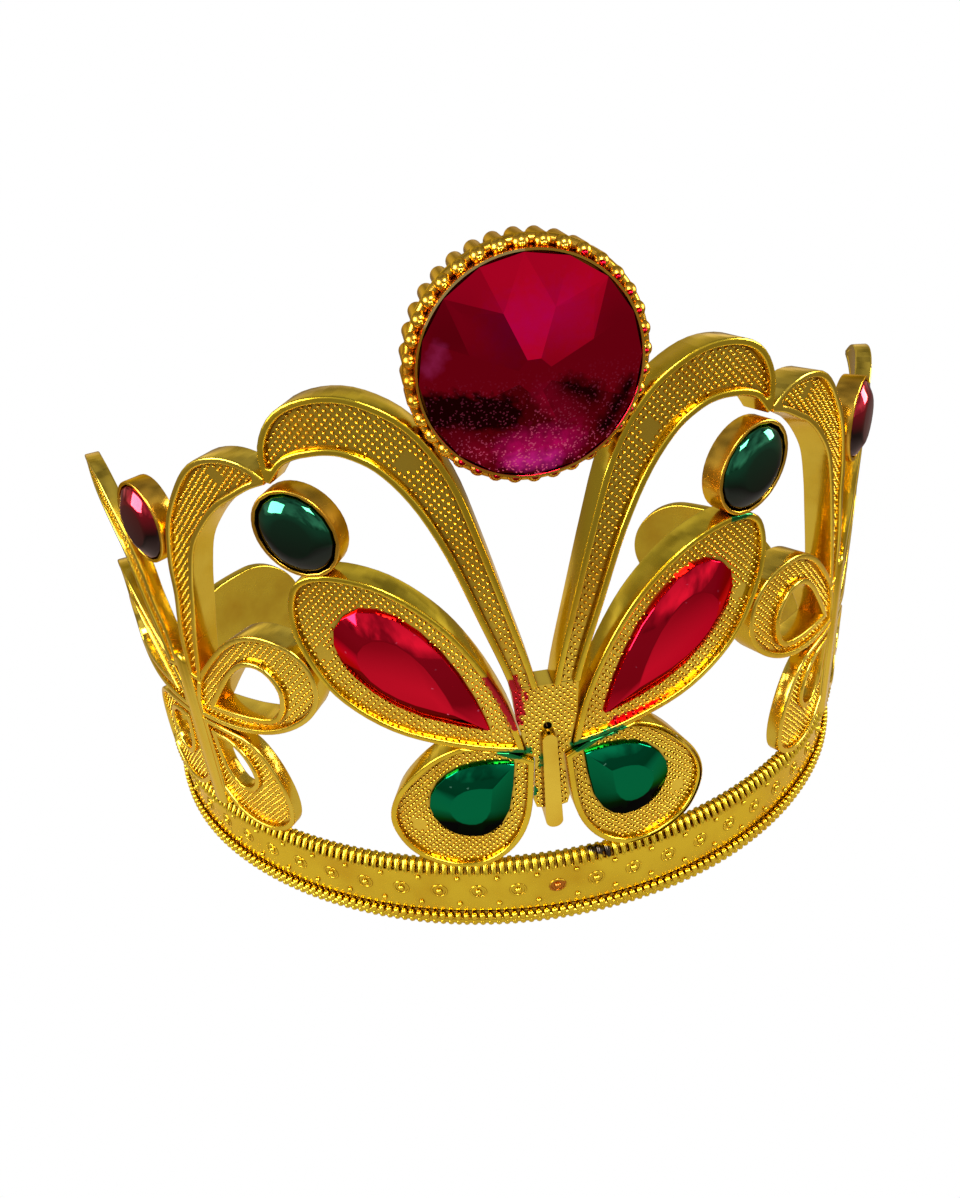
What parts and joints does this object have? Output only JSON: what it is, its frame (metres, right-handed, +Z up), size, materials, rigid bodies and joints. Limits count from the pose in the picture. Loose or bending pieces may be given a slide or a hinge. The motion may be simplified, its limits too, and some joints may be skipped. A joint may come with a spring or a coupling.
{
  "type": "tiara",
  "caption": "Dress-up tiara: an open ring of gold-coloured plastic with pierced arches, a butterfly, a beaded medallion and red and green cut stones",
  "frame": {"origin": "Middle of the whole tiara's box in plan, on the surface that the underside of its band stands on", "axes": "+Z up from the band towards the medallion, -Y out of the front face where the butterfly and the medallion are, +Y towards the open back, +X from the wearer's right to the wearer's left, so to the right for somebody who faces the front"},
  "size_m": [0.1534, 0.1164, 0.1179],
  "materials": {
    "gold": "moulded plastic with a bright gold metallised coat, fields pebbled and rims mirror smooth",
    "red_lacquer": "transparent crimson lacquer over the metallised coat, glossy with fine glitter",
    "green_lacquer": "transparent emerald lacquer over the metallised coat, glossy"
  },
  "bodies": {
    "root": {"band": "gold", "bezel": "gold", "round_stone": "red_lacquer", "butterfly_body": "gold", "upper_wing_left": "gold", "upper_wing_right": "gold", "lower_wing_left": "gold", "lower_wing_right": "gold", "upper_wing_stone_left": "red_lacquer", "upper_wing_stone_right": "red_lacquer", "lower_wing_stone_left": "green_lacquer", "lower_wing_stone_right": "green_lacquer", "tall_arch_left": "gold", "tall_arch_right": "gold", "front_side_arch_left": "gold", "front_side_arch_right": "gold", "rear_side_arch_left": "gold", "rear_side_arch_right": "gold", "front_loop_left": "gold", "front_loop_right": "gold", "rear_loop_left": "gold", "rear_loop_right": "gold", "front_leaf_left": "gold", "front_leaf_right": "gold", "rear_leaf_left": "gold", "rear_leaf_right": "gold", "side_bar_left": "gold", "side_bar_right": "gold", "green_setting_left": "gold", "green_setting_right": "gold", "green_stone_left": "green_lacquer", "green_stone_right": "green_lacquer", "red_setting_left": "gold", "red_setting_right": "gold", "red_stone_left": "red_lacquer", "red_stone_right": "red_lacquer", "rear_band_left": "gold", "rear_band_right": "gold", "end_tab_left": "gold", "end_tab_right": "gold"}
  },
  "joints": []
}
